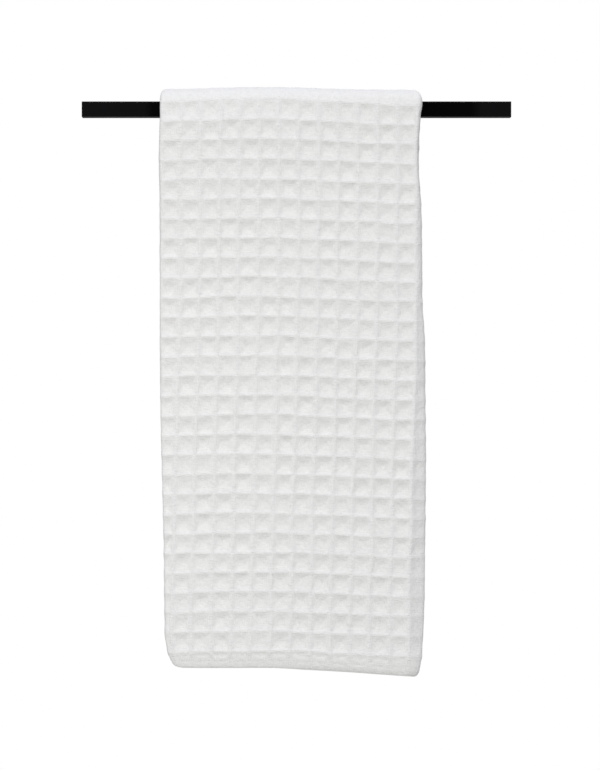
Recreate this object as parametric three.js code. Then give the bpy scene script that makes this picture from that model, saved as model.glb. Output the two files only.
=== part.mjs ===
// A waffle hand towel, folded in three lengthwise and hung over a flat black bar.
// Millimetres. X runs along the bar, -Y faces the viewer and +Z is up.
// The origin is the middle of the bar.
import * as THREE from "three";

// Flat bar
const BAR_LENGTH = 280;
const BAR_DEPTH = 20;
const BAR_HEIGHT = 10;
const BAR_EDGE_RADIUS = 1;
const BAR_EDGE_STEPS = 3;

// Cloth, as it is woven and hemmed
const CLOTH_LENGTH = 762;
const CLOTH_THICKNESS = 2.4;
const LAYER_GAP = 0.35;
const CELL_ACROSS = 12.74;
const CELL_ALONG = 12.8;
const PIT_DEPTH = 1.4;
const HEM_HEIGHT = 8.5;

// How the folded strip goes over the bar
const REST_GAP = 0.3;
const FACE_CLEARANCE = 2;
const INNER_BEND = 1.6;
const FRONT_DROP = 383.4;

// Where the weave's ridges lie on the strip
const FIRST_RIDGE = 13.7;
const WEAVE_START = -88.4;
const PITTED_RIDGES = 13;
const HIDDEN_RIDGES = [4, 7, 10];
const LEAST_FLAT = 0.5;
const MIDDLE_EDGE_INSET = 1;
const INNER_EDGE_INSET = 1;

// Facets round each fold and over the bar
const LEFT_FOLD_STEPS = 5;
const RIGHT_FOLD_STEPS = 6;
const LEFT_CREASE_STEPS = 2;
const RIGHT_CREASE_STEPS = 4;
const BEND_ROWS_PER_CELL = 3;

// The strip's edges and depth, by how far they lie below its top. roll is how wide the right
// fold's turn is, slide is how far the weave has wandered along the bar, inward is how far the
// panel has swung towards the bar, and bulge is how far its middle stands out from its edges.
const FRONT_HANG = [
  { drop: 0, left: -86.6, right: 79.4, roll: 3.2, slide: 0, inward: 0, bulge: 0 },
  { drop: 1.2, left: -88.0, right: 81.1, roll: 3.2, slide: 0, inward: 0, bulge: 0 },
  { drop: 3, left: -88.6, right: 81.9, roll: 3.2, slide: 0, inward: 0, bulge: 0 },
  { drop: 6.5, left: -88.9, right: 82.5, roll: 3.2, slide: 0, inward: 0, bulge: 0.1 },
  { drop: 20, left: -88.9, right: 81.0, roll: 3.1, slide: 0, inward: 0, bulge: 0.2 },
  { drop: 47, left: -89.7, right: 79.7, roll: 3.1, slide: 0, inward: 0.6, bulge: 0.7 },
  { drop: 80, left: -89.2, right: 81.8, roll: 3.3, slide: -0.2, inward: 1.2, bulge: 1.1 },
  { drop: 140, left: -89.1, right: 82.5, roll: 4.7, slide: -0.5, inward: 2.2, bulge: 1.4 },
  { drop: 165, left: -89.1, right: 84.0, roll: 6.4, slide: -1.1, inward: 2.5, bulge: 1.4 },
  { drop: 203, left: -88.9, right: 84.4, roll: 8.2, slide: -2.1, inward: 2.8, bulge: 1.4 },
  { drop: 250, left: -88.0, right: 84.7, roll: 9.4, slide: -3.1, inward: 3.0, bulge: 1.3 },
  { drop: 300, left: -86.8, right: 84.1, roll: 9.9, slide: -4.4, inward: 3.1, bulge: 1.2 },
  { drop: 340, left: -86.3, right: 83.5, roll: 9.9, slide: -5.5, inward: 3.1, bulge: 1.0 },
  { drop: 383, left: -85.7, right: 81.3, roll: 9.0, slide: -5.7, inward: 3.0, bulge: 0.8 },
];
const BACK_HANG = [
  { drop: 0, left: -86.6, right: 79.4, roll: 3.2, slide: 0, inward: 0, bulge: 0 },
  { drop: 3, left: -88.4, right: 81.4, roll: 3.2, slide: 0, inward: 0, bulge: 0 },
  { drop: 50, left: -89.3, right: 80.6, roll: 3.4, slide: 0.4, inward: 0.6, bulge: 0.6 },
  { drop: 150, left: -88.9, right: 81.2, roll: 5.2, slide: 0.9, inward: 2.2, bulge: 1.2 },
  { drop: 260, left: -86.6, right: 82.6, roll: 6.8, slide: 1.5, inward: 2.9, bulge: 1.0 },
  { drop: 360, left: -84.8, right: 81.9, roll: 7.0, slide: 2.1, inward: 3.0, bulge: 0.6 },
];

// How uneven the strip hangs along the bar. pulled is how far the cloth has been drawn over the
// bar to the back, crown is how far it stands up over the bar, and tucked is how far the front
// hem has crept up. Both hems curl a little towards the bar's side of the cloth.
const UNEVENNESS = [
  { across: -90, pulled: 2.6, crown: 0, tucked: 3.7 },
  { across: -68, pulled: 3.1, crown: 0.2, tucked: 3.0 },
  { across: -40, pulled: 3.7, crown: 1.1, tucked: 2.4 },
  { across: -14, pulled: 3.8, crown: 1.3, tucked: 2.3 },
  { across: 6, pulled: 3.0, crown: 0.9, tucked: 1.9 },
  { across: 33, pulled: 1.8, crown: 0.12, tucked: 1.6 },
  { across: 58, pulled: 0.7, crown: 0, tucked: 0.9 },
  { across: 84, pulled: 0, crown: 0, tucked: 0 },
];
const CROWN_DROP = 20;
const HEM_ZONE = 13;
const HEM_CURL = 1.3;

// The lower corners are rounded: how far each is drawn in, by height over the hem's edge
const CORNER_IN = [
  { up: 0, left: 11, right: 3.4 },
  { up: 1, left: 7.2, right: 2.0 },
  { up: 3, left: 4.9, right: 0.9 },
  { up: 8, left: 3.0, right: 0.1 },
  { up: 14, left: 1.6, right: 0 },
  { up: 24, left: 0, right: 0 },
];
const CORNER_REACH = 30;

// Sizes that follow from the ones above
const STACK = 3 * CLOTH_THICKNESS + 2 * LAYER_GAP;
const LAYER_PITCH = CLOTH_THICKNESS + LAYER_GAP;
const LEFT_FOLD_RADIUS = CLOTH_THICKNESS + LAYER_GAP / 2;
const RIGHT_FOLD_RADIUS = STACK / 2;
const BEND_RADIUS = INNER_BEND + STACK;
const FACE_OUT = BAR_DEPTH / 2 + FACE_CLEARANCE + STACK;
const TOP = BAR_HEIGHT / 2 + REST_GAP + STACK;
const FLAT_TOP = 2 * (FACE_OUT - BEND_RADIUS);
const WEAVE_BEND = BEND_RADIUS - CLOTH_THICKNESS / 2;
const FRONT_LENGTH = FRONT_DROP - BEND_RADIUS;
const BEND_LENGTH = (Math.PI / 2) * WEAVE_BEND;
const BEND_START = FRONT_LENGTH;
const BEND_END = FRONT_LENGTH + 2 * BEND_LENGTH + FLAT_TOP;
const MOST_PULLED = Math.max(...UNEVENNESS.map((row) => row.pulled));

// A smooth curve through one column of a table, read at a value of its key column.
function curve(table, key, column) {
  const keys = table.map((row) => row[key]);
  const values = table.map((row) => row[column]);
  const last = keys.length - 1;
  const slopes = keys.map((_, i) => {
    const before = Math.max(i - 1, 0);
    const after = Math.min(i + 1, last);
    return (values[after] - values[before]) / (keys[after] - keys[before]);
  });
  return (at) => {
    const held = THREE.MathUtils.clamp(at, keys[0], keys[last]);
    let i = 0;
    while (i < last - 1 && held > keys[i + 1]) i += 1;
    const span = keys[i + 1] - keys[i];
    const s = (held - keys[i]) / span;
    const rise = values[i + 1] - values[i];
    const pull = slopes[i] * span * (1 - s) - slopes[i + 1] * span * s - rise * (1 - 2 * s);
    return values[i] + rise * s + s * (1 - s) * pull;
  };
}

const hangCurves = (table) => ({
  left: curve(table, "drop", "left"),
  right: curve(table, "drop", "right"),
  roll: curve(table, "drop", "roll"),
  slide: curve(table, "drop", "slide"),
  inward: curve(table, "drop", "inward"),
  bulge: curve(table, "drop", "bulge"),
});
const frontHang = hangCurves(FRONT_HANG);
const backHang = hangCurves(BACK_HANG);
const pulled = curve(UNEVENNESS, "across", "pulled");
const crown = curve(UNEVENNESS, "across", "crown");
const tucked = curve(UNEVENNESS, "across", "tucked");
const cornerLeft = curve(CORNER_IN, "up", "left");
const cornerRight = curve(CORNER_IN, "up", "right");

// The strip's outer face at a length along the cloth from its front hem: a point in the
// YZ plane, the direction into the stack there, and which panel it is on.
function drape(along) {
  const bendY = FACE_OUT - BEND_RADIUS;
  const bendZ = TOP - BEND_RADIUS;
  if (along <= BEND_START) {
    const z = TOP - FRONT_DROP + along;
    return { y: -FACE_OUT, z, inY: 1, inZ: 0, drop: TOP - z, hang: frontHang, side: -1 };
  }
  if (along >= BEND_END) {
    const z = bendZ - (along - BEND_END);
    return { y: FACE_OUT, z, inY: -1, inZ: 0, drop: TOP - z, hang: backHang, side: 1 };
  }
  const overFront = Math.min((along - BEND_START) / WEAVE_BEND, Math.PI / 2);
  const overBack = Math.min((BEND_END - along) / WEAVE_BEND, Math.PI / 2);
  const onFront = overFront < Math.PI / 2;
  const onBack = overBack < Math.PI / 2;
  const angle = onFront ? overFront : overBack;
  const side = onBack ? 1 : -1;
  const flat = along - BEND_START - BEND_LENGTH;
  const centreY = onFront || onBack ? side * bendY : flat - bendY;
  const outY = onFront || onBack ? side * Math.cos(angle) : 0;
  const outZ = Math.sin(angle);
  const z = bendZ + BEND_RADIUS * outZ;
  const hang = onBack ? backHang : frontHang;
  return { y: centreY + BEND_RADIUS * outY, z, inY: -outY, inZ: -outZ, drop: TOP - z, hang, side };
}

// The x of a ridge of the weave, kept on the flat of the strip.
function ridgeX(number, at, left, right) {
  const x = WEAVE_START + at.hang.slide(at.drop) + number * CELL_ACROSS;
  return THREE.MathUtils.clamp(x, left + LEAST_FLAT, right - LEAST_FLAT);
}

// Points round a fold: half a turn about (x, depth), reach wide and radius deep, from one face
// of the stack to the other.
function foldPoints(x, depth, reach, radius, steps, down) {
  return Array.from({ length: steps + 1 }, (_, i) => {
    const angle = (Math.PI * i) / steps;
    const turn = down ? -Math.cos(angle) : Math.cos(angle);
    return { x: x + reach * Math.sin(angle), depth: depth + radius * turn };
  });
}

// The folded strip's section at one row: a closed loop of x and depth below the outer face.
// The outer layer turns under at the left into the middle layer, and at the right, round that
// layer's edge, into the inner layer, which lies next to the bar.
function section(at) {
  const leftEdge = at.hang.left(at.drop);
  const rightEdge = at.hang.right(at.drop);
  const left = leftEdge + LEFT_FOLD_RADIUS;
  const rightRoll = at.hang.roll(at.drop);
  const right = rightEdge - rightRoll;
  const hidden = HIDDEN_RIDGES.map((number) => ridgeX(number, at, left, right));
  const backwards = [...hidden].reverse();
  const middleEdge = right - MIDDLE_EDGE_INSET;
  const innerEdge = leftEdge + INNER_EDGE_INSET;
  const level = (list, depth) => list.map((x) => ({ x, depth }));
  const ridges = Array.from({ length: PITTED_RIDGES }, (_, i) => ridgeX(i + 1, at, left, right));
  const leftDepth = LEFT_FOLD_RADIUS;
  const rightDepth = RIGHT_FOLD_RADIUS;
  const leftCrease = LEFT_FOLD_RADIUS - CLOTH_THICKNESS;
  const rightCrease = RIGHT_FOLD_RADIUS - CLOTH_THICKNESS;
  const creaseReach = rightRoll - CLOTH_THICKNESS;
  const middleLow = LAYER_PITCH + CLOTH_THICKNESS;
  return [
    ...level([middleEdge, ...backwards], middleLow),
    ...foldPoints(left, leftDepth, -LEFT_FOLD_RADIUS, LEFT_FOLD_RADIUS, LEFT_FOLD_STEPS, false),
    ...level(ridges, 0),
    ...foldPoints(right, rightDepth, rightRoll, RIGHT_FOLD_RADIUS, RIGHT_FOLD_STEPS, true),
    ...level([...backwards, innerEdge], STACK),
    ...level([innerEdge, ...hidden], 2 * LAYER_PITCH),
    ...foldPoints(right, rightDepth, creaseReach, rightCrease, RIGHT_CREASE_STEPS, false),
    ...level(backwards, CLOTH_THICKNESS),
    ...foldPoints(left, leftDepth, -leftCrease, leftCrease, LEFT_CREASE_STEPS, true),
    ...level([...hidden, middleEdge], LAYER_PITCH),
  ];
}
const FIRST_PITTED = 1 + HIDDEN_RIDGES.length + LEFT_FOLD_STEPS;
const RIGHT_FOLD_START = FIRST_PITTED + PITTED_RIDGES + 1;
const INNER_CORNER = RIGHT_FOLD_START + RIGHT_FOLD_STEPS + 1 + HIDDEN_RIDGES.length;

// How strongly a corner draws in the cloth at this distance from its edge.
function nearEdge(distance) {
  return (1 - THREE.MathUtils.clamp(distance / CORNER_REACH, 0, 1)) ** 2;
}

// A point of the cloth in space: its place on the drape, then the strip's own unevenness.
function place(point, along) {
  const at = drape(along + pulled(point.x));
  const fromEnd = Math.min(along, CLOTH_LENGTH - along);
  const leftEdge = at.hang.left(at.drop);
  const rightEdge = at.hang.right(at.drop);
  const share = (point.x - leftEdge) / (rightEdge - leftEdge);
  const standing = crown(point.x) * (1 - THREE.MathUtils.smoothstep(at.drop, 0, CROWN_DROP));
  const creeping = tucked(point.x) * Math.max(0, 1 - along / HEM_ZONE);
  const drawn =
    cornerLeft(fromEnd) * nearEdge(point.x - leftEdge) -
    cornerRight(fromEnd) * nearEdge(rightEdge - point.x);
  const bulge = at.hang.bulge(at.drop) * (1 - (2 * share - 1) ** 2);
  const curl = HEM_CURL * Math.max(0, 1 - fromEnd / HEM_ZONE) ** 2;
  const swing = at.side * (bulge - at.hang.inward(at.drop) - curl);
  return new THREE.Vector3(
    point.x + drawn,
    at.y + at.inY * point.depth + swing,
    at.z + at.inZ * point.depth + standing + creeping,
  );
}

// Rows along the cloth. A ridge row bounds the cells; the rows between ridge rows round the bend.
function clothRows() {
  const hemRows = [0, 1, 3];
  const lastHem = CLOTH_LENGTH - HEM_HEIGHT;
  const ridges = [HEM_HEIGHT];
  for (let along = FIRST_RIDGE; along < lastHem - 1; along += CELL_ALONG) ridges.push(along);
  ridges.push(lastHem);
  const rows = hemRows.map((along) => ({ along, ridge: false }));
  ridges.forEach((along, i) => {
    rows.push({ along, ridge: true });
    const next = ridges[i + 1];
    const bends = next > BEND_START - MOST_PULLED && along < BEND_END;
    for (let j = 1; bends && j < BEND_ROWS_PER_CELL; j += 1) {
      const between = along + ((next - along) * j) / BEND_ROWS_PER_CELL;
      rows.push({ along: between, ridge: false });
    }
  });
  hemRows.reverse().forEach((up) => rows.push({ along: CLOTH_LENGTH - up, ridge: false }));
  return rows;
}

// The towel is one sheet: loops of the section along the drape, with a pit in each cell of
// the outer layer, closed by the section's own shape at both hems.
function towelGeometry() {
  const rows = clothRows();
  const loops = rows.map(({ along }) => section(drape(along)));
  const columns = loops[0].length;
  const points = rows.flatMap(({ along }, r) => loops[r].map((point) => place(point, along)));
  const triangles = [];
  const corner = (r, c) => r * columns + (c % columns);

  const quad = (r, c) => {
    triangles.push(corner(r, c), corner(r, c + 1), corner(r + 1, c + 1));
    triangles.push(corner(r, c), corner(r + 1, c + 1), corner(r + 1, c));
  };

  const pit = (low, high, c) => {
    const along = (rows[low].along + rows[high].along) / 2;
    const ridges = section(drape(along));
    const x = (ridges[c].x + ridges[c + 1].x) / 2;
    const acrossShare = Math.min(1, (ridges[c + 1].x - ridges[c].x) / CELL_ACROSS);
    const alongShare = (rows[high].along - rows[low].along) / CELL_ALONG;
    const depth = PIT_DEPTH * acrossShare * alongShare;
    const centre = points.push(place({ x, depth }, along)) - 1;
    const rim = [];
    for (let r = low; r <= high; r += 1) rim.push(corner(r, c + 1));
    for (let r = high; r >= low; r -= 1) rim.push(corner(r, c));
    rim.forEach((p, i) => triangles.push(centre, p, rim[(i + 1) % rim.length]));
  };

  const ridgeRows = rows.flatMap(({ ridge }, r) => (ridge ? [r] : []));
  const inHem = (r) => r < ridgeRows[0] || r >= ridgeRows.at(-1);
  for (let c = 0; c < columns; c += 1) {
    const pitted = c >= FIRST_PITTED && c < FIRST_PITTED + PITTED_RIDGES;
    for (let r = 0; r < rows.length - 1; r += 1) {
      if (!pitted || inHem(r)) quad(r, c);
    }
    for (let i = 0; pitted && i < ridgeRows.length - 1; i += 1) {
      pit(ridgeRows[i], ridgeRows[i + 1], c);
    }
  }

  const endFace = (r, flip) => {
    const loop = loops[r];
    const gap = (a, b) => Math.hypot(loop[a].x - loop[b].x, loop[a].depth - loop[b].depth);
    let outer = 0;
    let inner = columns - 1;
    while (outer < INNER_CORNER || inner > INNER_CORNER + 1) {
      const outerLeft = outer < INNER_CORNER;
      const innerLeft = inner > INNER_CORNER + 1;
      const outerNext = outerLeft && (!innerLeft || gap(outer + 1, inner) < gap(outer, inner - 1));
      const third = outerNext ? outer + 1 : inner - 1;
      const face = [corner(r, outer), corner(r, inner), corner(r, third)];
      triangles.push(...(flip ? face.reverse() : face));
      if (outerNext) outer += 1;
      else inner -= 1;
    }
  };
  endFace(0, false);
  endFace(rows.length - 1, true);

  const geometry = new THREE.BufferGeometry().setFromPoints(points);
  geometry.setIndex(triangles);
  geometry.computeVertexNormals();
  return geometry;
}

function towel() {
  const cotton = new THREE.MeshStandardMaterial({ color: 0xeeeeec, roughness: 0.95, metalness: 0 });
  const mesh = new THREE.Mesh(towelGeometry(), cotton);
  mesh.name = "towel";
  return mesh;
}

// The bar's section, with its long edges rounded.
function barOutline() {
  const shape = new THREE.Shape();
  const x = BAR_HEIGHT / 2 - BAR_EDGE_RADIUS;
  const y = BAR_DEPTH / 2 - BAR_EDGE_RADIUS;
  const turn = Math.PI / 2;
  shape.absarc(x, y, BAR_EDGE_RADIUS, 0, turn);
  shape.absarc(-x, y, BAR_EDGE_RADIUS, turn, 2 * turn);
  shape.absarc(-x, -y, BAR_EDGE_RADIUS, 2 * turn, 3 * turn);
  shape.absarc(x, -y, BAR_EDGE_RADIUS, 3 * turn, 4 * turn);
  return shape;
}

function bar() {
  const geometry = new THREE.ExtrudeGeometry(barOutline(), {
    depth: BAR_LENGTH,
    bevelEnabled: false,
    curveSegments: BAR_EDGE_STEPS,
  });
  geometry.translate(0, 0, -BAR_LENGTH / 2);
  geometry.rotateY(Math.PI / 2);
  const black = new THREE.MeshStandardMaterial({ color: 0x141414, roughness: 0.4, metalness: 0 });
  const mesh = new THREE.Mesh(geometry, black);
  mesh.name = "bar";
  return mesh;
}

const towelOnBar = new THREE.Group();
towelOnBar.add(bar(), towel());

export default towelOnBar;
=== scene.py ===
# A waffle hand towel, folded in three lengthwise and hung over a flat black bar.
# Metres, in the frame of the CAD: X runs along the bar, -Y faces the viewer and +Z is up.
import math

import bpy
import numpy as np
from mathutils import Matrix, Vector


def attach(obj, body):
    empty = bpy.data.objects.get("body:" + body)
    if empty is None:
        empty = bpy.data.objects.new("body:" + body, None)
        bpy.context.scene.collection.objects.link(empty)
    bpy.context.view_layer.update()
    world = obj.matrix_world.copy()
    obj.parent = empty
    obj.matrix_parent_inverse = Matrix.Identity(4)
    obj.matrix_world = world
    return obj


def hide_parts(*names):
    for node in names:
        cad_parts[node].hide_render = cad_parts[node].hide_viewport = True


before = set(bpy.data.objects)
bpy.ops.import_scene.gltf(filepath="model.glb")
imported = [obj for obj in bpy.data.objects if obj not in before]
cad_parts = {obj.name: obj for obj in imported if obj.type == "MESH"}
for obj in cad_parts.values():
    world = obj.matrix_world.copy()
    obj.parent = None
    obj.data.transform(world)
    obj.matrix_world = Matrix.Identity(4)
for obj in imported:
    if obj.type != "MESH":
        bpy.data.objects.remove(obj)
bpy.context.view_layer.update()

# The bar. A flat metal bar, 20 mm deep and 10 mm high, cut square at both ends and powder
# coated satin black. Its shape is the CAD's. The coat's orange peel and wear, and a painted
# reflection towards its ends, are made here.
MM = 0.001
BAR_BLACK = (0.0006, 0.0006, 0.0007, 1)
# The grey of the coat's wear and of the painted reflection towards the ends.
BAR_WEAR_AND_REFLECTION = (0.0052, 0.0052, 0.0056, 1)
PEEL_HEIGHT = 0.012 * MM

# Where the top wear and the painted reflection start and where they are full, up or out from
# the bar's middle, and the share of each mark.
RUBBED_TOP = (4.1 * MM, 5 * MM)
REFLECTION_LEFT = (93 * MM, 100 * MM)
REFLECTION_RIGHT = (112 * MM, 122 * MM)
TOP_WEAR = 0.4
REFLECTION_SHARE = 0.8
BLOTCH_WEAR = 0.1


class Shade:
    """A socket in a material's node tree. Arithmetic on it adds Math nodes to that tree."""

    def __init__(self, tree, socket=None):
        self.tree = tree
        self.socket = socket

    def node(self, kind, settings=(), values=(), out=0):
        """Adds a node: its settings first, then the values or links of its sockets."""
        made = self.tree.nodes.new("ShaderNode" + kind)
        for name, setting in dict(settings).items():
            setattr(made, name, setting)
        for name, value in dict(values).items():
            if isinstance(value, Shade):
                self.tree.links.new(value.socket, made.inputs[name])
            else:
                made.inputs[name].default_value = value
        return Shade(self.tree, made.outputs[out])

    def math(self, operation, *values):
        """Adds a Math node that works on the values in their order."""
        return self.node("Math", {"operation": operation}, dict(enumerate(values)))

    def blend(self, low, high):
        """Goes from one colour or link to the other as this value goes from 0 to 1."""
        return self.node("Mix", {"data_type": "RGBA"}, {0: self, 6: low, 7: high}, out=2)

    def eased(self, start, end, low=0.0, high=1.0):
        """Goes smoothly from low to high as this value goes from start to end."""
        limits = {0: self, 1: start, 2: end, 3: low, 4: high}
        return self.node("MapRange", {"interpolation_type": "SMOOTHSTEP"}, limits)

    def __add__(self, other):
        return self.math("ADD", self, other)

    def __radd__(self, other):
        return self.math("ADD", other, self)

    def __sub__(self, other):
        return self.math("SUBTRACT", self, other)

    def __rsub__(self, other):
        return self.math("SUBTRACT", other, self)

    def __mul__(self, other):
        return self.math("MULTIPLY", self, other)

    def __rmul__(self, other):
        return self.math("MULTIPLY", other, self)

    def __abs__(self):
        return self.math("ABSOLUTE", self)


def new_finish(name, **fixed):
    """A material with one Principled shader, whose constant sockets are set here.
    Returns the material, the tree as a Shade and the shader node."""
    finish = bpy.data.materials.new(name)
    finish.use_nodes = True
    tree = finish.node_tree
    shader = tree.nodes["Principled BSDF"]
    for socket, value in fixed.items():
        shader.inputs[socket.replace("_", " ")].default_value = value
    return finish, Shade(tree), shader


def feed(shader, **links):
    """Links values that change over the surface to the shader's sockets."""
    for socket, value in links.items():
        value.tree.links.new(value.socket, shader.inputs[socket.replace("_", " ")])


def powder_coat():
    """Black coat with an orange peel 0.8 mm across. It is greyer in faint blotches and in patches
    along the top edge, where it is worn. It is lighter towards both ends, outside the towel, as a
    painted reflection. Each adds its share of the way from black to the grey of wear and reflection."""
    finish, coat, shader = new_finish("bar_powder_coat", Specular_IOR_Level=0.03)
    position = coat.node("TexCoord", out="Object")
    peel = coat.node("TexNoise", values={"Vector": position, "Scale": 1250.0, "Detail": 2.0})
    blotch = coat.node("TexNoise", values={"Vector": position, "Scale": 28.0, "Detail": 4.0})
    sideways = coat.node("SeparateXYZ", values={0: position}, out="X")
    upwards = coat.node("SeparateXYZ", values={0: position}, out="Z")
    top = upwards.eased(*RUBBED_TOP) * blotch.eased(0.42, 0.62)
    # Painted reflection: the bar is painted lighter towards both ends, outside the towel.
    painted_reflection = (0.0 - sideways).eased(*REFLECTION_LEFT) + sideways.eased(*REFLECTION_RIGHT)
    wear_and_reflection = top * TOP_WEAR + painted_reflection * REFLECTION_SHARE + blotch.eased(0.35, 0.75) * BLOTCH_WEAR
    colour = wear_and_reflection.blend(BAR_BLACK, BAR_WEAR_AND_REFLECTION)
    roughness = blotch.eased(0.3, 0.7, 0.36, 0.46)
    bump = coat.node("Bump", values={"Distance": PEEL_HEIGHT, "Height": peel})
    feed(shader, Base_Color=colour, Roughness=roughness, Normal=bump)
    return finish


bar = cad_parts["bar"]
bar_coat = powder_coat()
for bar_slot in bar.material_slots:
    bar_slot.material = bar_coat

# The towel. One rectangle of thick white cotton waffle weave, 508 by 762 mm, hemmed at both
# ends, folded in three lengthwise and hung over the bar. The outer layer turns under at the
# left into the middle layer, and at the right into the inner one, which lies next to the bar.

# These sizes and the hang below are the solid's, apart from the weave's pitch across and the
# right fold's roll, which follow a finer measure.
CLOTH_LENGTH = 762 * MM
BAR_DEPTH = 20 * MM
BAR_HEIGHT = 10 * MM
THICKNESS = 2.4 * MM
LAYER_GAP = 0.35 * MM
CELL_ACROSS = 12.86 * MM
CELL_ALONG = 12.8 * MM
CELLS_ALONG = 57
FIRST_RIDGE = 13.7 * MM
WEAVE_START = -88.4 * MM
FRONT_DROP = 383.4 * MM
REST_GAP = 0.3 * MM
FACE_CLEARANCE = 2 * MM
INNER_BEND = 1.6 * MM

# How each panel hangs, in mm, by its drop below the top: the x of both edges, how far the right
# fold reaches out, how far the weave has slid to the right, how far the panel hangs in towards
# the bar's plane and how far its middle bulges out.
FRONT_HANG = {
    "drop": (0, 1.2, 3, 6.5, 20, 47, 80, 140, 165, 203, 250, 300, 340, 383),
    "left": (-86.6, -88, -88.6, -88.9, -88.9, -89.7, -89.2, -89.1, -89.1, -88.9, -88, -86.8, -86.3, -85.7),
    "right": (79.4, 81.1, 81.9, 82.5, 81.0, 79.7, 81.8, 82.5, 84.0, 84.4, 84.7, 84.1, 83.5, 81.3),
    "roll": (3.2, 3.2, 3.2, 3.2, 3.2, 3.6, 5.2, 6.0, 7.0, 8.5, 9.5, 10.1, 10.1, 9.2),
    "slide": (0, 0, 0, 0, 0, 0, -0.2, -0.5, -1.1, -2.1, -3.1, -4.4, -5.5, -5.7),
    "inward": (0, 0, 0, 0, 0, 0.6, 1.2, 2.2, 2.5, 2.8, 3.0, 3.1, 3.1, 3.0),
    "bulge": (0, 0, 0, 0.1, 0.2, 0.7, 1.1, 1.4, 1.4, 1.4, 1.3, 1.2, 1.0, 0.8),
}
BACK_HANG = {
    "drop": (0, 3, 50, 150, 260, 360),
    "left": (-86.6, -88.4, -89.3, -88.9, -86.6, -84.8),
    "right": (79.4, 81.4, 80.6, 81.2, 82.6, 81.9),
    "roll": (3.2, 3.2, 3.4, 5.2, 6.8, 7.0),
    "slide": (0, 0, 0.4, 0.9, 1.5, 2.1),
    "inward": (0, 0, 0.6, 2.2, 2.9, 3.0),
    "bulge": (0, 0, 0.6, 1.2, 1.0, 0.6),
}

# How unevenly it hangs, in mm, by x: how far the cloth is pulled over the bar to the back, how
# far it stands up over the bar, and how far the front hem has crept up. Then how far the corners
# are drawn in, by the distance from the towel's end.
UNEVENNESS = {
    "across": (-90, -68, -40, -14, 6, 33, 58, 84),
    "pulled": (2.6, 3.1, 3.7, 3.8, 3.0, 1.8, 0.7, 0),
    "crown": (0, 0.2, 1.1, 1.3, 0.9, 0.12, 0, 0),
    "tucked": (3.7, 3.0, 2.4, 2.3, 1.9, 1.6, 0.9, 0),
}
CORNER_IN = {
    "up": (0, 1, 3, 8, 14, 24),
    "left": (11, 7.2, 4.9, 3.0, 1.6, 0),
    "right": (3.4, 2.0, 0.9, 0.1, 0, 0),
}
CORNER_REACH = 30 * MM
CROWN_DROP = 20 * MM
HEM_ZONE = 13 * MM
HEM_CURL = 1.3 * MM
EDGE_CURL = 0.75 * MM
EDGE_REACH = 4 * MM
LEAST_EDGE_CURL = 0.4
EDGE_CURL_CHANGE = 30 * MM
STAND_OFF = 1.3 * MM
STAND_OFF_START = 6 * MM
STAND_OFF_REACH = 18 * MM
STAND_OFF_RETURN = 90 * MM
LEFT_TO_RIGHT = 120 * MM

STACK = 3 * THICKNESS + 2 * LAYER_GAP
LEFT_FOLD_RADIUS = THICKNESS + LAYER_GAP / 2
RIGHT_FOLD_RADIUS = STACK / 2
BEND_RADIUS = INNER_BEND + STACK
BEND_Y = BAR_DEPTH / 2 + FACE_CLEARANCE + STACK - BEND_RADIUS
TOP = BAR_HEIGHT / 2 + REST_GAP + STACK
WEAVE_BEND = BEND_RADIUS - THICKNESS / 2
BEND_START = FRONT_DROP - BEND_RADIUS
BEND_LENGTH = math.pi / 2 * WEAVE_BEND
BEND_END = BEND_START + 2 * BEND_LENGTH + 2 * BEND_Y


def smooth(share):
    """A share from 0 to 1 eased at both ends: three times its square less twice its cube."""
    return share * share * (3 - 2 * share)


def end_distance(along):
    """How far a length along the cloth lies from the nearer end."""
    return np.minimum(along, CLOTH_LENGTH - along)


def past_bends(over):
    """How far a length along the cloth hangs past the nearer bend, and 0 over the bar."""
    return np.clip(BEND_START - over, 0, None) + np.clip(over - BEND_END, 0, None)


def on_left(x):
    """1 on the left of the towel and 0 on the right, going evenly over its middle 120 mm."""
    return np.clip(0.5 - x / LEFT_TO_RIGHT, 0, 1)


def read(table, key, column, at):
    """The column's value where its key column is `at`: a cubic from row to row, whose slope at a
    row is that from the row before to the row after it."""
    keys = np.array(table[key]) * MM
    values = np.array(table[column]) * MM
    lines = np.arange(len(keys))
    last = lines[-1]
    before = np.maximum(lines - 1, 0)
    after = np.minimum(lines + 1, last)
    slopes = (values[after] - values[before]) / (keys[after] - keys[before])
    held = np.clip(at, keys[0], keys[-1])
    low = np.clip(np.searchsorted(keys, held, side="right") - 1, 0, last - 1)
    span = keys[low + 1] - keys[low]
    share = (held - keys[low]) / span
    rise = values[low + 1] - values[low]
    pull = slopes[low] * span * (1 - share) - slopes[low + 1] * span * share - rise * (1 - 2 * share)
    return values[low] + rise * share + share * (1 - share) * pull


def overhead(along):
    """How far round the front bend and the back bend a length of cloth is, from 0 to a quarter
    turn each: its distance past the bend's start over the weave's own bend radius."""
    front = np.clip((along - BEND_START) / WEAVE_BEND, 0, math.pi / 2)
    back = np.clip((BEND_END - along) / WEAVE_BEND, 0, math.pi / 2)
    return front, back


def hang(along, *columns):
    """How far a length of cloth lies below the top, whether it is on the back, and the named
    columns of the hang there. The drop is the length past a bend, and in a bend it is the bend's
    radius times one minus the sine of the turn."""
    front, back = overhead(along)
    drop = past_bends(along) + BEND_RADIUS * (1 - np.sin(np.minimum(front, back)))
    on_back = back < math.pi / 2
    sides = [[read(table, "drop", name, drop) for table in (BACK_HANG, FRONT_HANG)] for name in columns]
    return [drop, on_back] + [np.where(on_back, *side) for side in sides]


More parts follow.
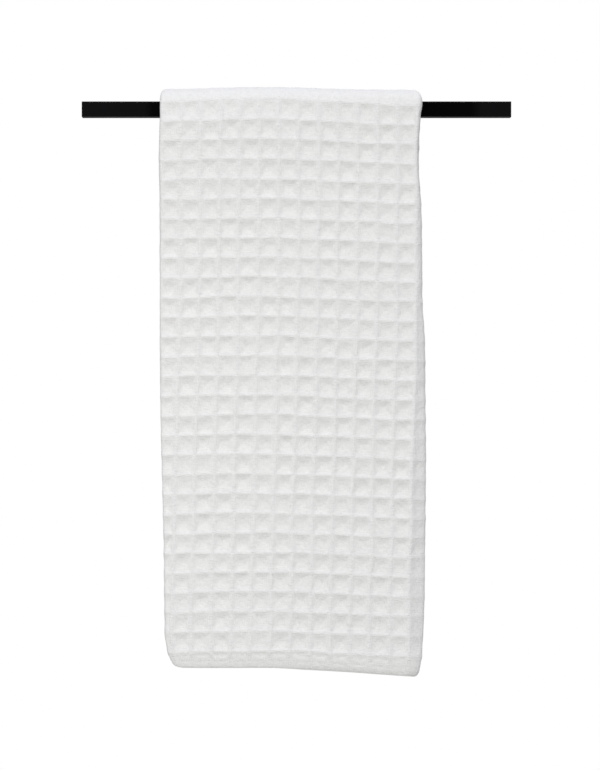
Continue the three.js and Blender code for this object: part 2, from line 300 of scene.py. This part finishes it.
def drape(x, depth, along):
    """A point of the cloth in space. Its place on the drape is an arc over each edge of the bar
    with straight runs between and below, less its depth under the outer face. The crown and the
    hem's creep lift it, and the corners draw it in. A panel swings out by its bulge, a parabola
    from edge to edge, less how far it hangs in and the curl of its hem, which goes by the square
    of how near the end is. On the left the front also stands off the bar, from 6 mm below the top
    to its most at 24 mm, and comes back over the next 90 mm."""
    over = along + read(UNEVENNESS, "across", "pulled", x)
    drop, on_back, left, right, bulge, inward = hang(over, "left", "right", "bulge", "inward")
    front, back = overhead(over)
    out_y = np.cos(back) - np.cos(front)
    out_z = np.sin(back) * np.sin(front)
    y = np.clip(over - BEND_START - BEND_LENGTH, 0, 2 * BEND_Y) - BEND_Y
    z = TOP - BEND_RADIUS - past_bends(over)
    standing = read(UNEVENNESS, "across", "crown", x) * (1 - smooth(np.clip(drop / CROWN_DROP, 0, 1)))
    creeping = read(UNEVENNESS, "across", "tucked", x) * np.clip(1 - along / HEM_ZONE, 0, None)

    from_end = end_distance(along)
    near_left = (1 - np.clip((x - left) / CORNER_REACH, 0, 1)) ** 2
    near_right = (1 - np.clip((right - x) / CORNER_REACH, 0, 1)) ** 2
    drawn = read(CORNER_IN, "up", "left", from_end) * near_left
    drawn = drawn - read(CORNER_IN, "up", "right", from_end) * near_right

    more_right = np.clip(0.5 + x / EDGE_CURL_CHANGE, 0, 1)
    turned = LEAST_EDGE_CURL + (1 - LEAST_EDGE_CURL) * more_right
    curl = HEM_CURL * np.clip(1 - from_end / HEM_ZONE, 0, 1) ** 2
    curl = curl + turned * EDGE_CURL * np.clip(1 - from_end / (turned * EDGE_REACH), 0, 1) ** 2
    leaves = smooth(np.clip((drop - STAND_OFF_START) / STAND_OFF_REACH, 0, 1))
    returns = np.clip((drop - STAND_OFF_START - STAND_OFF_REACH) / STAND_OFF_RETURN, 0, 1)
    off_bar = STAND_OFF * on_left(x) * np.where(on_back, 0, 1) * leaves * (1 - returns) ** 2
    share = (x - left) / (right - left)
    out_by = bulge * (1 - (2 * share - 1) ** 2) - inward - curl + off_bar
    swing = np.where(on_back, 1, -1) * out_by
    reach = BEND_RADIUS - depth
    return np.stack([x + drawn, y + out_y * reach + swing, z + out_z * reach + standing + creeping], -1)


# Columns across the cloth. Each run of columns goes by its own share, from the middle layer's
# free edge to the inner layer's. In a full cell they stand close together at the ridges.
MIDDLE_RUN = np.array([0, 0.3, 1.35, 8, 24, 44, 64, 84, 104, 124, 144]) * MM
LEFT_TURNS = np.linspace(math.pi, 0, 7)
FIRST_CELL = np.linspace(0, 1, 8)[1:-1]
ACROSS_STEPS = np.array([0, 0.07, 0.15, 0.3, 0.5, 0.7, 0.85, 0.93])
FULL_CELLS = (np.arange(1, 13)[:, None] + ACROSS_STEPS).ravel()[:-3]
LAST_CELL = np.array([0.35, 0.68, 0.88])
RIGHT_TURNS = np.append([0, 0.037, 0.114], np.linspace(math.pi / 14, math.pi, 14))
TURNED_UNDER = np.linspace(0, 1, 6)[1:-1]
INNER_CELLS = np.arange(15, 25.51, 0.25)
LAST_INNER = np.array([0.25, 0.5, 0.75])
INNER_EDGE = np.array([3.5, 1.35, 0.7, 0.3, 0]) * MM
EDGE_INSET = 1 * MM
TIGHT_ROLL = 3.2 * MM
FOLD_SQUARED = 0.62
ROLL_LEAN = 0.42
LEAN_AT_END = 0.3
LEAN_FADE = 22 * MM


def section(along):
    """The folded strip's section at each row: the outer layer straight from fold to fold, half a
    circle round the left fold, half a squared ellipse round the right one, and a layer back from
    each. The squared ellipse reaches out by the sine of the turn to the power FOLD_SQUARED and
    goes down by one minus its cosine. Where its roll is wide it also leans back. The lean rises
    from 0 at the outer layer as 6 out^2 - 8 out^3 + 3 out^4, and is 0 again at the inner one.
    Returns the cell coordinate, x, depth and turn of the outer face: 0 on the outer layer, pi
    once it is turned under, negative round the left fold."""
    _, _, left_edge, right_edge, roll, slide = hang(along[:, None], "left", "right", "roll", "slide")
    left = left_edge + LEFT_FOLD_RADIUS
    right = right_edge - roll
    one = np.ones_like(left)
    left_cell = (left - WEAVE_START - slide) / CELL_ACROSS
    right_cell = (right - WEAVE_START - slide) / CELL_ACROSS

    middle_x = right - EDGE_INSET - MIDDLE_RUN
    left_bend = LEFT_TURNS * (LEFT_FOLD_RADIUS - THICKNESS / 2) / CELL_ACROSS
    middle_cell = left_cell - left_bend[0] - (middle_x - left) / CELL_ACROSS
    left_x = left - LEFT_FOLD_RADIUS * np.sin(LEFT_TURNS)
    outer_cell = np.concatenate([
        left_cell + (FULL_CELLS[0] - left_cell) * FIRST_CELL,
        one * FULL_CELLS,
        FULL_CELLS[-1] + (right_cell - FULL_CELLS[-1]) * LAST_CELL,
    ], 1)
    outer_x = WEAVE_START + slide + outer_cell * CELL_ACROSS

    out = np.sin(RIGHT_TURNS) ** FOLD_SQUARED
    right_x = right + roll * out
    from_end = end_distance(along)[:, None]
    lean = ROLL_LEAN * (roll - TIGHT_ROLL)
    lean = lean * (LEAN_AT_END + (1 - LEAN_AT_END) * np.clip(from_end / LEAN_FADE, 0, 1))
    lean = lean * (6 * out**2 - 8 * out**3 + 3 * out**4) * np.minimum(1, 1 + np.cos(RIGHT_TURNS))
    right_depth = RIGHT_FOLD_RADIUS * (1 - np.cos(RIGHT_TURNS)) + lean
    run = np.diff(right_x - THICKNESS / 2 * np.sin(RIGHT_TURNS), axis=1)
    fall = np.diff(right_depth + THICKNESS / 2 * np.cos(RIGHT_TURNS), axis=1)
    bend = np.cumsum(np.hypot(run, fall), axis=1) / CELL_ACROSS
    fold_cell = np.concatenate([right_cell, right_cell + bend], 1)

    under_cell = fold_cell[:, -1:]
    edge_cell = under_cell + (right - left_edge - EDGE_INSET) / CELL_ACROSS
    near_edge = edge_cell - INNER_EDGE / CELL_ACROSS
    inner_cell = np.concatenate([
        under_cell + (INNER_CELLS[0] - under_cell) * TURNED_UNDER,
        one * INNER_CELLS,
        INNER_CELLS[-1] + (near_edge[:, :1] - INNER_CELLS[-1]) * LAST_INNER,
        near_edge,
    ], 1)
    inner_x = right - (inner_cell - under_cell) * CELL_ACROSS

    cell = np.concatenate([middle_cell, left_cell - left_bend, outer_cell, fold_cell, inner_cell], 1)
    x = np.concatenate([middle_x, left_x, outer_x, right_x, inner_x], 1)
    depth = np.concatenate([
        2 * LEFT_FOLD_RADIUS * np.ones_like(middle_cell),
        one * (LEFT_FOLD_RADIUS * (1 - np.cos(LEFT_TURNS))),
        np.zeros_like(outer_cell),
        right_depth,
        STACK * np.ones_like(inner_cell),
    ], 1)
    turn = np.concatenate([
        -math.pi * np.ones_like(middle_cell),
        -one * LEFT_TURNS,
        np.zeros_like(outer_cell),
        one * RIGHT_TURNS,
        math.pi * np.ones_like(inner_cell),
    ], 1)
    return cell, x, depth, turn


# Rows along the cloth: close together at the hems' rounded edges and stitching, then eight to
# a cell between them, closest at each ridge. The last ridge lies further from its end of the
# cloth than the first one, so the back hem has three rows more.
HEM_ROWS = np.array([0, 0.25, 0.7, 1.4, 2.6, 4.2, 5.2, 5.8, 6.4, 7.2, 8.5, 9.8, 11.1, 12.4]) * MM
BACK_HEM_ROWS = np.append(HEM_ROWS, np.array([13.7, 15.3, 17]) * MM)
ALONG_STEPS = np.array([0, 0.1, 0.26, 0.43, 0.58, 0.7, 0.82, 0.93])
cell_rows = np.append(np.arange(CELLS_ALONG)[:, None] + ALONG_STEPS, CELLS_ALONG)
row_along = np.concatenate([
    HEM_ROWS,
    FIRST_RIDGE + CELL_ALONG * cell_rows,
    CLOTH_LENGTH - BACK_HEM_ROWS[::-1],
])
cell, section_x, section_depth, turn = section(row_along)
row = ((row_along - FIRST_RIDGE) / CELL_ALONG)[:, None] * np.ones_like(cell)
along = row_along[:, None] * np.ones_like(cell)

# The weave's relief. Long floats pile up into ridges 12.8 to 12.9 mm apart both ways, and the
# plain ground between them sinks into square pits, each a little different. Over the bar and
# round the folds the weave is pulled open, and the pits nearly go.
LATTICE = 64


def soft_noise(across, along, seed):
    """Seeded numbers from -1 to 1 on a unit lattice, joined by a smoothstep both ways."""
    numbers = np.random.default_rng(seed).uniform(-1, 1, (LATTICE, LATTICE))
    left = np.floor(across).astype(int)
    near = np.floor(along).astype(int)
    u = smooth(across - left)
    v = smooth(along - near)
    left, right, near, far = [line % LATTICE for line in (left, left + 1, near, near + 1)]
    low = numbers[left, near] * (1 - u) + numbers[right, near] * u
    high = numbers[left, far] * (1 - u) + numbers[right, far] * u
    return low * (1 - v) + high * v


# A pit's section: how wide it is in its cell, where its floor lies, how its sides curve, how
# square it is and how softly it meets the ridges.
PIT_WIDTH = 0.92
PIT_FLOOR = 0.59
SIDE_POWER = 2.3
ABOVE_POWER = 1.1
BELOW_POWER = 1.7
SQUARENESS = 5
CREST = 0.08


def pit_share(u, v):
    """How deep a point lies in its cell, from 0 on the ridges to 1 at the pit's floor. The share
    is 1 - (A^n + B^n)^(1/n), eased over CREST at the ridges. A is the distance from the middle
    line to the wide ridge beside it to the power 2.3. B is the distance from the floor to the
    sharp ridge above to the power 1.1, or to the one below to the power 1.7. Each is 1 at its
    ridge."""
    beside = (np.abs(2 * u - 1) / PIT_WIDTH) ** SIDE_POWER
    above = (np.clip(v - PIT_FLOOR, 0, None) / (1 - PIT_FLOOR)) ** ABOVE_POWER
    below = (np.clip(PIT_FLOOR - v, 0, None) / PIT_FLOOR) ** BELOW_POWER
    climbed = (beside ** SQUARENESS + (above + below) ** SQUARENESS) ** (1 / SQUARENESS)
    sunk = np.clip(1 - climbed, 0, 1)
    fall = np.where(sunk < CREST, sunk * sunk / (2 * CREST), sunk - CREST / 2)
    return fall / (1 - CREST / 2)


# How deep the weave is and how it varies from cell to cell, then how taut it is by the bar, over
# it and round the folds, and how it is pressed and hemmed.
PIT_DEPTH = 1.42 * MM
DEPTH_VARIES = 0.25
DEPTH_DRIFTS = 0.12
FLOOR_ASIDE = 0.3
FLOOR_DOWN = 0.4
RIDGE_SAG = 0.25 * MM
LUMP = 0.12 * MM
LUMPS_TO_A_CELL = 3.7
TAUT_BY_BAR = 0.1
TAUTER_ON_LEFT = 0.24
TAUT_REACH = 14 * MM
TAUT_OVER_BAR = 0.85
BEND_SOONER = 1.7
ROLLED_TAUT = 0.9
ROLLED_SOONER = 0.32
PRESSED = 0.45 * MM
PRESSED_REACH = 60 * MM
HEM_WIDTH = 8.5 * MM
HEM_FADE = 4 * MM
HEM_SUNK = 0.7 * MM
HEM_PIT = 0.45 * MM
HEM_LUMPS = 0.5


def relief(cell, row, along, x, turn):
    """How far the outer face lies under the tops of its ridges: its cell's pit, the ridges' sag
    between crossings and small lumps. Each cell has its own depth and an off-centre floor. Pits
    fade near and over the bar, by how taut the cloth is, and round the folds, by a power of the
    sine of half the turn. The right side is pressed down over the bar. A hem lies evenly sunk,
    and the pits beside it are no deeper than HEM_PIT."""
    numbers = np.random.default_rng(11).uniform(-1, 1, (3, LATTICE, LATTICE))
    own_cell = np.floor(cell).astype(int) % LATTICE
    own_row = np.floor(row).astype(int) % LATTICE
    depth, aside, down = numbers[:, own_cell, own_row]
    u = cell % 1
    v = row % 1
    pit = pit_share(u + FLOOR_ASIDE * aside * u * (1 - u), v + FLOOR_DOWN * down * v * (1 - v))

    over = along + read(UNEVENNESS, "across", "pulled", x)
    front, back = overhead(over)
    taut = TAUT_BY_BAR + TAUTER_ON_LEFT * on_left(x)
    in_bend = np.clip(np.sin(front) * np.sin(back) * BEND_SOONER, 0, 1)
    near_bar = np.clip(1 - past_bends(over) / TAUT_REACH, 0, 1)
    bent = near_bar * taut + in_bend * (TAUT_OVER_BAR - taut)
    rolled = np.abs(np.sin(turn / 2)) ** ROLLED_SOONER
    slack = (1 - bent) * (1 - ROLLED_TAUT * rolled)

    varied = 1 + DEPTH_VARIES * depth + DEPTH_DRIFTS * soft_noise(cell / 3, row / 3, seed=3)
    lumps = LUMP * (1 + soft_noise(cell * LUMPS_TO_A_CELL, row * LUMPS_TO_A_CELL, seed=9))
    sag = RIDGE_SAG * (1 - (2 * u - 1) ** 2)
    woven = (PIT_DEPTH * varied * pit + sag) * slack + lumps
    woven = woven + PRESSED * in_bend * np.clip(x / PRESSED_REACH, 0, 1)
    from_end = end_distance(along)
    hem = HEM_SUNK + HEM_LUMPS * lumps
    woven = np.where(from_end < FIRST_RIDGE, np.minimum(woven, hem + HEM_PIT), woven)
    inside = smooth(np.clip((from_end - HEM_WIDTH) / HEM_FADE, 0, 1))
    return inside * woven + (1 - inside) * hem


HAIR = 0.05 * MM


def rounded(distance):
    """How far a face falls away near an edge of the cloth: a quarter circle of half the
    thickness, less a hair so that the two faces don't meet."""
    radius = THICKNESS / 2
    near = np.clip(1 - distance / radius, 0, 1)
    return (radius - HAIR) * (1 - np.sqrt(1 - near * near))


STITCH_UP = 5.6 * MM
GROOVE_WIDTH = 0.75 * MM
GROOVE_DEPTH = 0.06 * MM
CAUGHT_DEPTH = 0.2 * MM


def hem_groove(along, cell):
    """The sewn line of a hem: a groove 0.06 mm deep, with a bell curve for its section, and
    0.2 mm deeper where a pit is caught under it."""
    up = end_distance(along) - STITCH_UP
    caught = np.sin(math.pi * (cell % 1)) ** 4
    return np.exp(-((up / GROOVE_WIDTH) ** 2)) * (GROOVE_DEPTH + CAUGHT_DEPTH * caught)


WANDER_ACROSS = 0.7 * MM
WANDER_ALONG = 0.55 * MM
WANDER_START = 12 * MM


def cloth_point(x, depth, turn, along, cell, row, under):
    """A point under the outer face of the folded cloth. It goes in along the section's normal,
    and the weave wanders along the cloth's face, by up to 0.7 mm across and 0.55 mm along."""
    free = np.clip(end_distance(along) / WANDER_START, 0, 1)
    sideways = WANDER_ACROSS * soft_noise(cell / 1.2, row / 1.6, seed=5) * np.cos(turn) ** 2 * free
    lengthways = WANDER_ALONG * soft_noise(cell / 1.5, row / 1.2, seed=7) * free
    inward_x = -np.sin(turn) * under
    inward_depth = np.cos(turn) * under
    return drape(x + inward_x + sideways, depth + inward_depth, along + lengthways)


# The cloth's outline is rounded: the free edges of the two layers that are turned in, and the
# hems half as far again. On the outer layer and the folds a point counts as far from a free edge.
FAR_AWAY = 1
HEM_ROUNDING = 1.5

free_edge = np.minimum(
    np.where(turn <= -math.pi, (cell - cell[:, :1]) * CELL_ACROSS, FAR_AWAY),
    np.where(turn >= math.pi, (cell[:, -1:] - cell) * CELL_ACROSS, FAR_AWAY),
)
edge_fall = np.maximum(rounded(end_distance(along) / HEM_ROUNDING), rounded(free_edge))
sunk = relief(cell, row, along, section_x, turn)
deepest = THICKNESS - 2 * HAIR
outer_under = np.minimum(np.maximum(sunk + hem_groove(along, cell), edge_fall), deepest)
outer_points = cloth_point(section_x, section_depth, turn, along, cell, row, outer_under)

# The cloth's other face lies against itself and shows only inside the folds and at the hems,
# so it has fewer rows and columns. A narrow rim joins the two faces.
PANEL_ROW_STEP = 8
BEND_ROW_STEP = 2
COLUMN_STEP = 6
BEFORE_BEND = 4 * MM
AT_END = 2 * MM

rows, columns = cell.shape
row_number = np.arange(rows)
over_bar = (row_along > BEND_START - BEFORE_BEND) & (row_along < BEND_END)
kept_row = (row_number % PANEL_ROW_STEP == 0) | (over_bar & (row_number % BEND_ROW_STEP == 0))
kept_row |= end_distance(row_along) < AT_END
kept_row[-1] = True
on_panel = np.abs(turn[0]) % math.pi == 0
kept_column = ~on_panel | (np.arange(columns) % COLUMN_STEP == 0)
kept_column[:MIDDLE_RUN.size] = True
kept_column[-3:] = True
inner_rows = np.flatnonzero(kept_row)
inner_columns = np.flatnonzero(kept_column)
inner = np.ix_(inner_rows, inner_columns)
inner_under = THICKNESS - edge_fall[inner]
inner_points = cloth_point(
    section_x[inner], section_depth[inner], turn[inner], along[inner], cell[inner], row[inner], inner_under
)


def grid_faces(ids, rising=True):
    """Two triangles to a square of the grid, cut along the diagonal that rises to the right or,
    where `rising` is false, along the other one."""
    low_left = ids[:-1, :-1]
    low_right = ids[:-1, 1:]
    high_right = ids[1:, 1:]
    high_left = ids[1:, :-1]
    up = np.stack([low_left, low_right, high_right, low_left, high_right, high_left], -1)
    down = np.stack([low_left, low_right, high_left, low_right, high_right, high_left], -1)
    return np.where(np.asarray(rising)[..., None], up, down).reshape(-1, 3)


def rim_faces(outer_ids, inner_ids, kept):
    """A band of triangles between an edge of the outer face and the same edge of the inner face.
    Each step of the outer edge goes to the inner point nearest it, and each step of the inner
    edge to the outer point where that changes."""
    steps = np.arange(len(outer_ids) - 1) + 0.5
    between = (kept[:-1] + kept[1:]) / 2
    owner = np.searchsorted(between, steps)
    change = np.searchsorted(steps, between, side="right")
    across = np.stack([outer_ids[:-1], inner_ids[owner], outer_ids[1:]], 1)
    along_inner = np.stack([outer_ids[change], inner_ids[:-1], inner_ids[1:]], 1)
    return np.concatenate([across, along_inner])


# Each square of the outer face is cut along the diagonal that runs towards its pit's middle.
outer_ids = np.arange(rows * columns).reshape(rows, columns)
inner_ids = outer_ids.size + np.arange(inner_under.size).reshape(inner_under.shape)
in_left_half = (cell[:-1, :-1] + cell[1:, 1:]) / 2 % 1 < 0.5
in_lower_half = (row[:-1, :-1] + row[1:, 1:]) / 2 % 1 < 0.5
faces = np.concatenate([
    grid_faces(outer_ids, rising=in_left_half == in_lower_half),
    grid_faces(inner_ids)[:, ::-1],
    rim_faces(outer_ids[0], inner_ids[0], inner_columns),
    rim_faces(outer_ids[-1], inner_ids[-1], inner_columns)[:, ::-1],
    rim_faces(outer_ids[:, 0], inner_ids[:, 0], inner_rows)[:, ::-1],
    rim_faces(outer_ids[:, -1], inner_ids[:, -1], inner_rows),
])
points = np.concatenate([outer_points.reshape(-1, 3), inner_points.reshape(-1, 3)])
in_weave = np.stack([cell, row], -1)
weave = np.concatenate([in_weave.reshape(-1, 2), in_weave[inner].reshape(-1, 2)])
pit = np.concatenate([(sunk / PIT_DEPTH).ravel(), np.zeros(inner_ids.size)])


def in_scene(name, data):
    """An object of the scene that holds a mesh, a light or a camera."""
    made = bpy.data.objects.new(name, data)
    bpy.context.scene.collection.objects.link(made)
    return made


def mesh_object(name, points, faces):
    """An object whose place is in its mesh."""
    mesh = bpy.data.meshes.new(name)
    mesh.from_pydata(points, [], faces)
    return in_scene(name, mesh)


towel = mesh_object("towel_cloth", points, faces)
towel.data.shade_smooth()
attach(towel, "root")
weave_map = towel.data.uv_layers.new(name="weave")
weave_map.data.foreach_set("uv", weave[faces.ravel()].astype(np.float32).ravel())
# How deep each point lies in its pit. The cotton uses it to paint shade into the pits.
pit_depth = towel.data.attributes.new("pit", "FLOAT", "POINT")
pit_depth.data.foreach_set("value", pit.astype(np.float32))

COTTON = (0.8272, 0.8215, 0.8035, 1)
# A darker, warmer cotton painted into the pits as painted shade.
COTTON_PIT_SHADE = (0.8255, 0.8185, 0.7955, 1)
YARNS = 12
NOTCHES = 7
YARN_SWAY = 2.2

# Heights of the bump as shares of its scale, then how much each thread lightens the cotton and
# between which shades. The darkening between the threads is painted shade.
BUMP_SCALE = 1 * MM
YARN_HEIGHT = 0.08
NOTCH_HEIGHT = 0.1
SLUB_HEIGHT = 0.36
FUZZ_HEIGHT = 0.13
YARN_LIGHT = 0.25
NOTCH_LIGHT = 0.22
SLUB_LIGHT = 0.9
DARKEST = 0.93
LIGHTEST = 0.998


def waffle_cotton():
    """White combed cotton. Twelve soft yarns to a cell lie across the slopes above and below a
    pit and along those beside it, each a low round of 0.08 mm, and seven binding notches to a
    cell cross each ridge. Slubs, fuzz and lint lie over them, all uneven. The yarns and notches
    are absolute sines of the cell coordinates, and the rest is noise. Its colour holds painted
    shade: darker and warmer in the pits, darker between the threads and a little darker on the
    upright ridges."""
    finish, cotton, shader = new_finish(
        "towel_waffle_cotton", Specular_IOR_Level=0.2, Sheen_Weight=0.12, Sheen_Roughness=0.6
    )
    weave = cotton.node("UVMap", {"uv_map": "weave"})
    position = cotton.node("TexCoord", out="Object")
    across = cotton.node("SeparateXYZ", values={0: weave}, out="X")
    along = cotton.node("SeparateXYZ", values={0: weave}, out="Y")
    wander = cotton.node("TexNoise", values={"Vector": position, "Scale": 260.0, "Detail": 3.0})
    slub = cotton.node("TexNoise", values={"Vector": position, "Scale": 420.0, "Detail": 2.0})
    fuzz = cotton.node("TexNoise", values={"Vector": position, "Scale": 1100.0, "Detail": 3.0})
    to_side = abs(across.math("FRACT", across) * 2.0 - 1.0)
    to_end = abs(along.math("FRACT", along) * 2.0 - 1.0)
    beside = (to_side - to_end + (wander - 0.5) * 0.6).eased(-0.12, 0.12)
    sway = (wander - 0.5) * YARN_SWAY
    upright = abs(across.math("SINE", (across * YARNS + sway) * math.pi))
    level = abs(along.math("SINE", (along * YARNS + sway) * math.pi))
    yarn = upright * beside + level * (1.0 - beside)
    crossing_up = abs(along.math("SINE", (along * NOTCHES + sway * 0.8) * math.pi))
    crossing_over = abs(across.math("SINE", (across * NOTCHES + sway * 0.8) * math.pi))
    bound = crossing_up * to_side.eased(0.7, 0.95) + crossing_over * to_end.eased(0.75, 0.97) * 0.6
    height = yarn * YARN_HEIGHT + bound * NOTCH_HEIGHT + slub * SLUB_HEIGHT + fuzz * FUZZ_HEIGHT
    bump = cotton.node("Bump", values={"Distance": BUMP_SCALE, "Height": height})
    pit = cotton.node("Attribute", {"attribute_name": "pit"}, out="Fac")
    # Painted shade: the cotton is darker and warmer the deeper the pit.
    white_with_pit_shade = pit.eased(0.1, 1.0).blend(COTTON, COTTON_PIT_SHADE)
    lit = yarn * YARN_LIGHT + bound * NOTCH_LIGHT + slub * SLUB_LIGHT
    # Painted shade: darker between the threads, and 1% darker on the upright ridges.
    shadowed = lit.eased(0.3, 0.8, DARKEST, LIGHTEST) * to_side.eased(0.75, 0.95, 1.0, 0.99)
    tone = cotton.node("VectorMath", {"operation": "SCALE"}, {0: white_with_pit_shade, "Scale": shadowed})
    rough = fuzz.eased(0.3, 0.7, 0.9, 1.0)
    feed(shader, Base_Color=tone, Roughness=rough, Normal=bump)
    return finish


towel.data.materials.append(waffle_cotton())
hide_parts("towel")

# The studio. A white backdrop, with light from all round that is warm below and cool above, one
# wide soft light above in front, a small weak one on the left and a weak one behind. A plain
# pale floor lies well below the towel, and the camera is level with the towel's middle.
FLOOR_LEVEL = -1.0
FLOOR_HALF = 2.5
FLOOR_PALE = (0.73, 0.725, 0.66, 1)
FLOOR_DULL = (0.7, 0.695, 0.63, 1)
SURROUND_LOW = (0.18, 0.168, 0.118, 1)
SURROUND_HIGH = (0.427, 0.445, 0.535, 1)
BACKDROP = (1, 1, 1, 1)
TOWEL_MIDDLE = (0, 0, -0.18)
WHITE = (1.0, 1.0, 1.0)
WARM_WHITE = (1.0, 0.995, 0.965)
CAMERA_AWAY = 3.5
VIEW_HEIGHT = 0.5005
VIEW_POINT = (0.0023, -0.0199, -0.1799)
SENSOR_HEIGHT = 36


def floor_points():
    """A square 5 m across, flat at the floor's level."""
    side = np.linspace(-FLOOR_HALF, FLOOR_HALF, 3)
    x, y = np.meshgrid(side, side)
    return np.stack([x, y, np.full_like(x, FLOOR_LEVEL)], -1).reshape(-1, 3)


studio_floor = mesh_object("studio_floor", floor_points(), grid_faces(np.arange(9).reshape(3, 3)))
floor_paint, paint, floor_shader = new_finish("studio_floor_paint", Roughness=0.8)
mottle = paint.node("TexNoise", values={"Vector": paint.node("TexCoord", out="Object"), "Scale": 6.0})
feed(floor_shader, Base_Color=mottle.blend(FLOOR_DULL, FLOOR_PALE))
studio_floor.data.materials.append(floor_paint)

world = bpy.data.worlds.new("studio_surround")
bpy.context.scene.world = world
world.use_nodes = True
surround = Shade(world.node_tree)
seen = surround.node("LightPath", out="Is Camera Ray")
direction = surround.node("TexCoord", out="Generated")
upward = surround.node("SeparateXYZ", values={0: direction}, out="Z")
glow = seen.blend((upward * 0.5 + 0.5).blend(SURROUND_LOW, SURROUND_HIGH), BACKDROP)
world.node_tree.links.new(glow.socket, world.node_tree.nodes["Background"].inputs["Color"])


def aim(obj, away, at):
    """Stands an object at a place, turned so that it looks at a point."""
    obj.location = away
    look = [b - a for a, b in zip(away, at)]
    obj.rotation_euler = Vector(look).to_track_quat("-Z", "Y").to_euler()


def soft_light(name, size, energy, color, away):
    """A square area light of a given side, stood away from the towel and aimed at its middle."""
    light = bpy.data.lights.new(name, "AREA")
    light.shape = "SQUARE"
    light.size = size
    light.energy = energy
    light.color = color
    aim(in_scene(name, light), away, TOWEL_MIDDLE)


soft_light("soft_key", 2.2, 132.8, WHITE, (0.12, -2.8, 3.37))
soft_light("soft_fill", 0.3, 0.85, WARM_WHITE, (-0.34, -0.62, -0.21))
soft_light("soft_back", 1.2, 18, WHITE, (0.8, 2.0, 1.0))

eye = bpy.data.cameras.new("photo_camera")
eye.sensor_fit = "VERTICAL"
eye.sensor_height = SENSOR_HEIGHT
eye.lens = SENSOR_HEIGHT * CAMERA_AWAY / VIEW_HEIGHT
photo_camera = in_scene("photo_camera", eye)
view_x, view_y, view_z = VIEW_POINT
aim(photo_camera, (view_x, view_y - CAMERA_AWAY, view_z), VIEW_POINT)
bpy.context.scene.camera = photo_camera
bpy.context.scene.view_settings.view_transform = "Standard"
